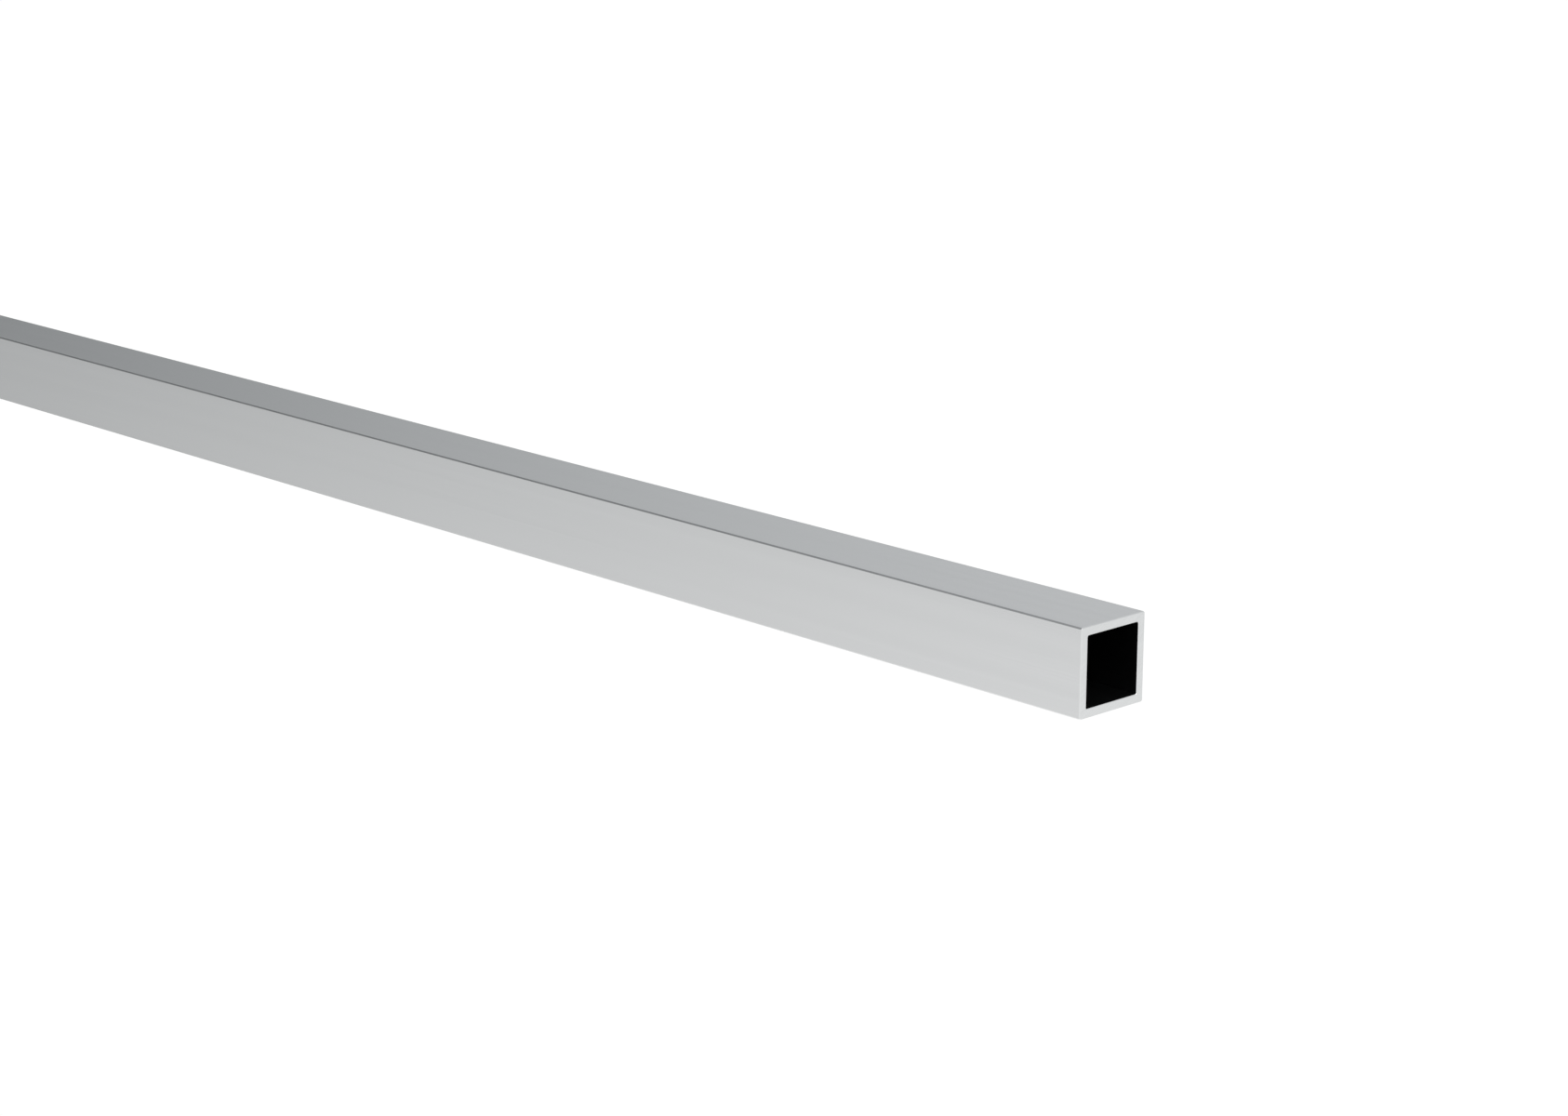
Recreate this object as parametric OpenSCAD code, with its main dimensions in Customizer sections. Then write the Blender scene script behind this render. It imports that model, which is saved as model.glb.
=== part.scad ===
// Square aluminium tube: one extruded length with a square bore, sawn and deburred at both ends.
// The tube lies on its bottom face along X, and the middle of that face is the origin.

/* [Section] */
// Outside width and height
side = 20; // [15:0.5:100]
// Thickness of each wall
wall = 2; // [1:0.1:5]
// Radius of the four long outside corners
corner_r = 0.3; // [0.1:0.05:1]
// Radius of the four long corners inside the bore
bore_corner_r = 0.4; // [0.1:0.05:1]

/* [Length] */
// Length of the piece of stock
length = 1000; // [100:10:6000]

/* [Deburred ends] */
// Rounding of the outside edges of each sawn end
end_edge_r = 0.3; // [0.1:0.05:0.4]
// Rounding of the edges round each mouth of the bore
mouth_edge_r = 0.3; // [0.1:0.05:0.4]

/* [Hidden] */
bore = side - 2 * wall;
// How far the shapes that cut or trim another reach past it
overshoot = 1;
satin_aluminium = [0.76, 0.77, 0.78];
$fn = 48;

// Rectangle round the origin with rounded corners
module rounded_rectangle(x, y, r) {
    square([x - 2 * r, y], center = true);
    square([x, y - 2 * r], center = true);
    for (i = [-1, 1], j = [-1, 1])
        translate([i * (x / 2 - r), j * (y / 2 - r)])
            circle(r);
}

// Upright bar with the tube's outside: its section, trimmed by its outline as seen from both sides
module outside() {
    intersection() {
        linear_extrude(length, center = true)
            rounded_rectangle(side, side, corner_r);
        intersection_for (turn = [0, 90])
            rotate([90, 0, turn])
                linear_extrude(side + 2 * overshoot, center = true)
                    rounded_rectangle(side, length, end_edge_r);
    }
}

// Half of the bore's outline along the tube, as far out as reach, flared at both mouths
module bore_outline(reach) {
    translate([0, -length / 2 - overshoot])
        square([reach, length + 2 * overshoot]);
    for (end = [0, 1])
        mirror([0, end])
            mouth_flare(reach);
}

// What a rounded mouth takes away beyond the bore's wall, and clear out of the end
module mouth_flare(reach) {
    difference() {
        translate([0, length / 2 - mouth_edge_r])
            square([reach + mouth_edge_r, mouth_edge_r + overshoot]);
        translate([reach + mouth_edge_r, length / 2 - mouth_edge_r])
            circle(mouth_edge_r);
    }
}

// Upright bore with rounded corners: a turned outline in each corner and a straight one on each side
module through_bore() {
    corner = bore / 2 - bore_corner_r;
    for (x = [-1, 1], y = [-1, 1])
        translate([x * corner, y * corner, 0])
            rotate_extrude()
                bore_outline(bore_corner_r);
    for (turn = [0 : 90 : 270])
        rotate([90, 0, turn])
            linear_extrude(2 * corner, center = true)
                bore_outline(bore / 2);
}

module square_tube() {
    color(satin_aluminium)
        translate([0, 0, side / 2])
            rotate([0, 90, 0])
                difference() {
                    outside();
                    through_bore();
                }
}

square_tube();
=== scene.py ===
"""Looks of a square aluminium tube: satin metal, sawn ends, a white floor and soft studio light."""
import math

import bmesh
import bpy
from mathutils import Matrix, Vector


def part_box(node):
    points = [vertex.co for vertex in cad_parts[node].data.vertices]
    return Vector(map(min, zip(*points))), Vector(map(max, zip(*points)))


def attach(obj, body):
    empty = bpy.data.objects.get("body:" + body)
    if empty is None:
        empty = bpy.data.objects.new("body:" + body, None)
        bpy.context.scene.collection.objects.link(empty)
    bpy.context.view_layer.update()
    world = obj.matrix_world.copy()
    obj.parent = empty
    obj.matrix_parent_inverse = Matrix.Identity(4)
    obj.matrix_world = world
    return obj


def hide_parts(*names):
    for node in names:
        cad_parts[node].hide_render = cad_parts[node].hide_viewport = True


MM = 0.001

# The section: its wall, and the radius of the corners in the bore
WALL = 2 * MM
BORE_CORNER_R = 0.4 * MM
# What the narrow flats take off each face: along the tube, round its ends, and round the bore's mouths
EDGE_FLAT = 0.33 * MM
END_FLAT = 0.14 * MM
MOUTH_FLAT = 0.10 * MM
# Corners of the section, and the turn from one to the next
CORNERS = 4
CORNER_TURN_DEG = 90
# Fineness of the mesh: steps round a corner, and lengths along the tube
CORNER_STEPS = 8
LENGTHS = 40
# Points nearer than this are one
WELD = 0.001 * MM
# Faces that meet at less than this are shaded as one round
SHARP_DEG = 30

# The camera: where it is in metres, how far it is turned from +Y towards -X, and how far it looks down
CAMERA_AT = (0.9089, -0.4716, 0.1946)
CAMERA_TURN_DEG = 47.281
CAMERA_DIP_DEG = 14.572
SENSOR_MM = 36.0
LENS_MM = 70.61
# How far it is tilted up from straight down to look level
LEVEL_DEG = 90
# The nearest and farthest that it sees, in metres
NEAREST = 0.01
FARTHEST = 100.0

FLOOR_RADIUS = 12.0
FLOOR_SIDES = 96
BLACK = (0, 0, 0, 1)
WHITE = (1, 1, 1, 1)
# Brightness of what the camera sees round the tube: just over full white, so that it stays even
GLOW = 1.02

# The metal outside, and inside the bore, where it is dull with what the die left on it and its colour is
# painted dark as the shade deep in the bore
ALUMINIUM = (0.76, 0.77, 0.78)
SATIN = 0.25
BORE_PAINTED_SHADE = (0.16, 0.165, 0.17)
DULL = 0.30
# How far the finish varies, as shares of the metal's colour and of its roughness
COLOUR_SPREAD = 0.05
ROUGHNESS_SPREAD = 0.20
# Length, width and height of the marks in the metal: lines and bands drawn by the die, and satin grain
LINE = (200 * MM, 0.2 * MM, 0.2 * MM)
BAND = (600 * MM, 4 * MM, 4 * MM)
GRAIN = (0.35 * MM, 0.15 * MM, 0.15 * MM)
# How deep the lines and the grain are. The bands have no depth
LINE_DEPTH = 0.003 * MM
GRAIN_DEPTH = 0.0008 * MM
# How much the bands count in the finish beside the lines
BAND_SHARE = 0.5
# Saw marks on the ends: their size along the tube, their pitch and their length
SAW_MARK = (1000 * MM, 0.35 * MM, 40 * MM)
SAW_DEPTH = 0.006 * MM
# How far the saw marks lean from upright
SAW_LEAN_DEG = 62
# Finer layers within the marks: crisp for lines and saw marks, soft for bands and grain
CRISP = 2
SOFT = 1
# A face belongs to an end where it looks along the tube by more than this share
END_FACING = 0.9

# The studio as the metal mirrors it, in stops of red, green and blue above or below full white
ALL_ROUND = (-0.73, -0.71, -0.69)
# What brightens or darkens a part of it: where it lies, how tight it is, and by how many stops
PATCHES = {
    "dark card over the far end": ((-0.90, -0.28, 0.34), 8.1, (-2.26, -2.23, -2.24)),
    "dark gap past the far end": ((-0.94, 0.30, -0.14), 16.0, (-3.50, -3.38, -3.37)),
    "bright floor": ((-0.32, -0.27, -0.91), 2.4, (1.42, 1.37, 1.31)),
    "soft box over the near end": ((0.73, -0.13, 0.67), 11.1, (2.20, 2.15, 2.14)),
    "bright room past the near end": ((0.98, 0.20, -0.01), 2.6, (1.79, 1.75, 1.67)),
    "dim wall past the near end": ((0.94, 0.29, 0.18), 7.5, (-2.68, -2.61, -2.53)),
    "dark card behind the camera": ((0.44, -0.79, 0.42), 10.4, (-1.20, -1.20, -1.20)),
}
# One stop up is twice the light, in red, green and blue
STOP = (2, 2, 2)


def node(tree, kind, inputs=None, **settings):
    """Adds a node. Each input, by its name or number, is a value or the socket that feeds it."""
    made = tree.nodes.new("ShaderNode" + kind)
    for name, value in settings.items():
        setattr(made, name, value)
    for key, value in (inputs or {}).items():
        if isinstance(value, bpy.types.NodeSocket):
            tree.links.new(value, made.inputs[key])
        else:
            made.inputs[key].default_value = value
    return made


def maths(tree, operation, *values):
    """Result of an operation on numbers, or on the sockets that give them."""
    return node(tree, "Math", dict(enumerate(values)), operation=operation).outputs["Value"]


def vector_maths(tree, operation, *values, output="Vector"):
    """The same for vectors and colours."""
    return node(tree, "VectorMath", dict(enumerate(values)), operation=operation).outputs[output]


def mix(tree, share, first, second, data_type="FLOAT"):
    """Number or colour at this share of the way from the first to the second."""
    inputs = {"Factor": share, "A": first, "B": second}
    return node(tree, "Mix", inputs, data_type=data_type).outputs["Result"]


def outline(half, corner, rounded):
    """Points (y, z) round a square of this half width, with round or flat corners, from +Y towards +Z."""
    points = []
    for turns in range(CORNERS):
        for step in range(CORNER_STEPS + 1):
            share = step / CORNER_STEPS
            across, up = 1 - share, share
            if rounded:
                turn = math.radians(CORNER_TURN_DEG * share)
                across, up = math.cos(turn), math.sin(turn)
            y, z = half - corner * (1 - across), half - corner * (1 - up)
            for _ in range(turns):
                y, z = -z, y
            points.append((y, z))
    return points


def bore_half(side):
    """Half the width of the bore in a tube of this side."""
    return side / 2 - WALL


def tube_rings(length, side):
    """Outlines (x, half width, corner, whether it is round) that the skin runs through.

    They go from the middle of the outside over the right end into the bore,
    and out of the left end back again.
    """
    half, half_bore, reach = side / 2, bore_half(side), length / 2
    end = [
        (reach - END_FLAT, half, EDGE_FLAT, False),
        (reach, half - END_FLAT, EDGE_FLAT - END_FLAT, False),
        (reach, half_bore + MOUTH_FLAT, BORE_CORNER_R + MOUTH_FLAT, True),
        (reach - MOUTH_FLAT, half_bore, BORE_CORNER_R, True),
    ]
    along = [(reach - END_FLAT) * (1 - 2 * i / LENGTHS) for i in range(1, LENGTHS)]
    outside = [(x, half, EDGE_FLAT, False) for x in reversed(along)]
    bore = [(x, half_bore, BORE_CORNER_R, True) for x in along]
    return outside + end + bore + [(-x, *rest) for x, *rest in reversed(end)]


def build_tube(low, high):
    """The whole tube as one closed mesh, with one material outside and another in the bore, coloured dark as
    painted shade.
    """
    centre = (low + high) / 2
    length, side = high.x - low.x, high.z - low.z
    bm = bmesh.new()
    rings = []
    for x, half, corner, rounded in tube_rings(length, side):
        points = outline(half, corner, rounded)
        ring = [bm.verts.new((centre.x + x, centre.y + y, centre.z + z)) for y, z in points]
        rings.append((half, ring))
    for (half, ring), (next_half, following) in zip(rings, rings[1:] + rings[:1]):
        in_bore = half == next_half == bore_half(side)
        for i, vert in enumerate(ring):
            j = (i + 1) % len(ring)
            face = bm.faces.new((vert, following[i], following[j], ring[j]))
            face.smooth = True
            # Faces in the bore take the second material, whose dark colour is painted shade
            face.material_index = int(in_bore)
    bmesh.ops.remove_doubles(bm, verts=bm.verts, dist=WELD)
    bmesh.ops.recalc_face_normals(bm, faces=bm.faces)
    mesh = bpy.data.meshes.new("aluminium_tube")
    bm.to_mesh(mesh)
    bm.free()
    mesh.set_sharp_from_angle(angle=math.radians(SHARP_DEG))
    mesh.materials.append(metal("satin_aluminium", ALUMINIUM, SATIN))
    # The bore's material is metal coloured dark: painted shade for the inside of the bore
    mesh.materials.append(metal("bore_aluminium_painted_shade", BORE_PAINTED_SHADE, DULL))
    tube = bpy.data.objects.new("aluminium_tube", mesh)
    bpy.context.scene.collection.objects.link(tube)
    return tube


def marks(tree, place, size, layers):
    """Noise from 0 to 1 whose marks have this length, width and height."""
    scaled = vector_maths(tree, "DIVIDE", place, size)
    return node(tree, "TexNoise", {"Vector": scaled, "Scale": 1.0, "Detail": layers}).outputs["Fac"]


def metal(name, colour, roughness):
    """Extruded aluminium: lines and broad bands along the tube, satin grain, and saw marks on the ends."""
    material = bpy.data.materials.new(name)
    material.use_nodes = True
    tree = material.node_tree
    shader = tree.nodes["Principled BSDF"]
    source = node(tree, "TexCoord").outputs
    place = source["Object"]
    lean = {"Vector": place, "Angle": math.radians(SAW_LEAN_DEG)}
    leaning = node(tree, "VectorRotate", lean, rotation_type="X_AXIS").outputs["Vector"]
    lines = marks(tree, place, LINE, CRISP)
    bands = marks(tree, place, BAND, SOFT)
    grain = marks(tree, place, GRAIN, SOFT)
    saw = marks(tree, leaning, SAW_MARK, CRISP)

    facing = node(tree, "SeparateXYZ", {"Vector": vector_maths(tree, "ABSOLUTE", source["Normal"])})
    at_end = maths(tree, "GREATER_THAN", facing.outputs["X"], END_FACING)
    finish = mix(tree, at_end, mix(tree, BAND_SHARE, lines, bands), saw)
    dark = [part * (1 - COLOUR_SPREAD) for part in colour] + [1]
    light = [part * (1 + COLOUR_SPREAD) for part in colour] + [1]
    rough, smooth = roughness * (1 + ROUGHNESS_SPREAD), roughness * (1 - ROUGHNESS_SPREAD)
    gloss = node(tree, "MapRange", {"Value": finish, "To Min": rough, "To Max": smooth})

    line_height = maths(tree, "MULTIPLY", lines, LINE_DEPTH)
    saw_height = maths(tree, "MULTIPLY", saw, SAW_DEPTH)
    height = maths(tree, "MULTIPLY_ADD", grain, GRAIN_DEPTH, mix(tree, at_end, line_height, saw_height))
    relief = node(tree, "Bump", {"Strength": 1.0, "Distance": 1.0, "Height": height})

    shader.inputs["Metallic"].default_value = 1.0
    tree.links.new(mix(tree, finish, dark, light, "RGBA"), shader.inputs["Base Color"])
    tree.links.new(gloss.outputs["Result"], shader.inputs["Roughness"])
    tree.links.new(relief.outputs["Normal"], shader.inputs["Normal"])
    return material


def build_world():
    """Soft light from all round, with broad patches that the metal mirrors as gradients.

    The camera itself sees white.
    """
    world = bpy.data.worlds.new("studio")
    bpy.context.scene.world = world
    world.use_nodes = True
    tree = world.node_tree
    tree.nodes.clear()
    direction = node(tree, "TexCoord").outputs["Generated"]
    stops = ALL_ROUND
    for towards, tightness, strength in PATCHES.values():
        middle = Vector(towards).normalized()
        nearness = vector_maths(tree, "DOT_PRODUCT", direction, middle, output="Value")
        share = maths(tree, "EXPONENT", maths(tree, "MULTIPLY_ADD", nearness, tightness, -tightness))
        stops = vector_maths(tree, "MULTIPLY_ADD", share, strength, stops)
    light = node(tree, "Background", {"Color": vector_maths(tree, "POWER", STOP, stops)})
    white = node(tree, "Background", {"Color": WHITE, "Strength": GLOW})
    seen = node(tree, "LightPath").outputs["Is Camera Ray"]
    both = node(tree, "MixShader", {0: seen, 1: light.outputs["Background"], 2: white.outputs["Background"]})
    node(tree, "OutputWorld", {"Surface": both.outputs["Shader"]})


def build_floor():
    """Plain white floor that glows, so that it shows no shadow under the tube."""
    bpy.ops.mesh.primitive_circle_add(
        vertices=FLOOR_SIDES, radius=FLOOR_RADIUS, fill_type="NGON", location=(0, 0, 0)
    )
    floor = bpy.context.object
    floor.name = "floor"
    material = bpy.data.materials.new("floor_white")
    material.use_nodes = True
    shader = material.node_tree.nodes["Principled BSDF"]
    shader.inputs["Base Color"].default_value = BLACK
    shader.inputs["Roughness"].default_value = 1.0
    shader.inputs["Specular IOR Level"].default_value = 0.0
    shader.inputs["Emission Color"].default_value = WHITE
    shader.inputs["Emission Strength"].default_value = GLOW
    floor.data.materials.append(material)
    floor.visible_glossy = False
    floor.visible_diffuse = False


def build_camera():
    """The camera, turned and dipped from where it would look straight down."""
    data = bpy.data.cameras.new("camera")
    data.sensor_width = SENSOR_MM
    data.lens = LENS_MM
    data.clip_start = NEAREST
    data.clip_end = FARTHEST
    camera = bpy.data.objects.new("camera", data)
    camera.location = CAMERA_AT
    camera.rotation_euler = (math.radians(LEVEL_DEG - CAMERA_DIP_DEG), 0, math.radians(CAMERA_TURN_DEG))
    bpy.context.scene.collection.objects.link(camera)
    bpy.context.scene.camera = camera


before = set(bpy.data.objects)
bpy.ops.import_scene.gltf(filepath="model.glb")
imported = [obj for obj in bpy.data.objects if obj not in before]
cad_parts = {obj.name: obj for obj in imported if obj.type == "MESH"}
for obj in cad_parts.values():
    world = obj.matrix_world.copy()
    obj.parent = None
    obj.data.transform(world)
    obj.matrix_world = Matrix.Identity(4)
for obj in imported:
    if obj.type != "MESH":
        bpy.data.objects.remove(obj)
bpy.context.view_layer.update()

build_camera()
build_world()
build_floor()
tube = build_tube(*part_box("square_tube"))
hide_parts("square_tube")
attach(tube, "root")

bpy.context.scene.view_settings.view_transform = "Standard"
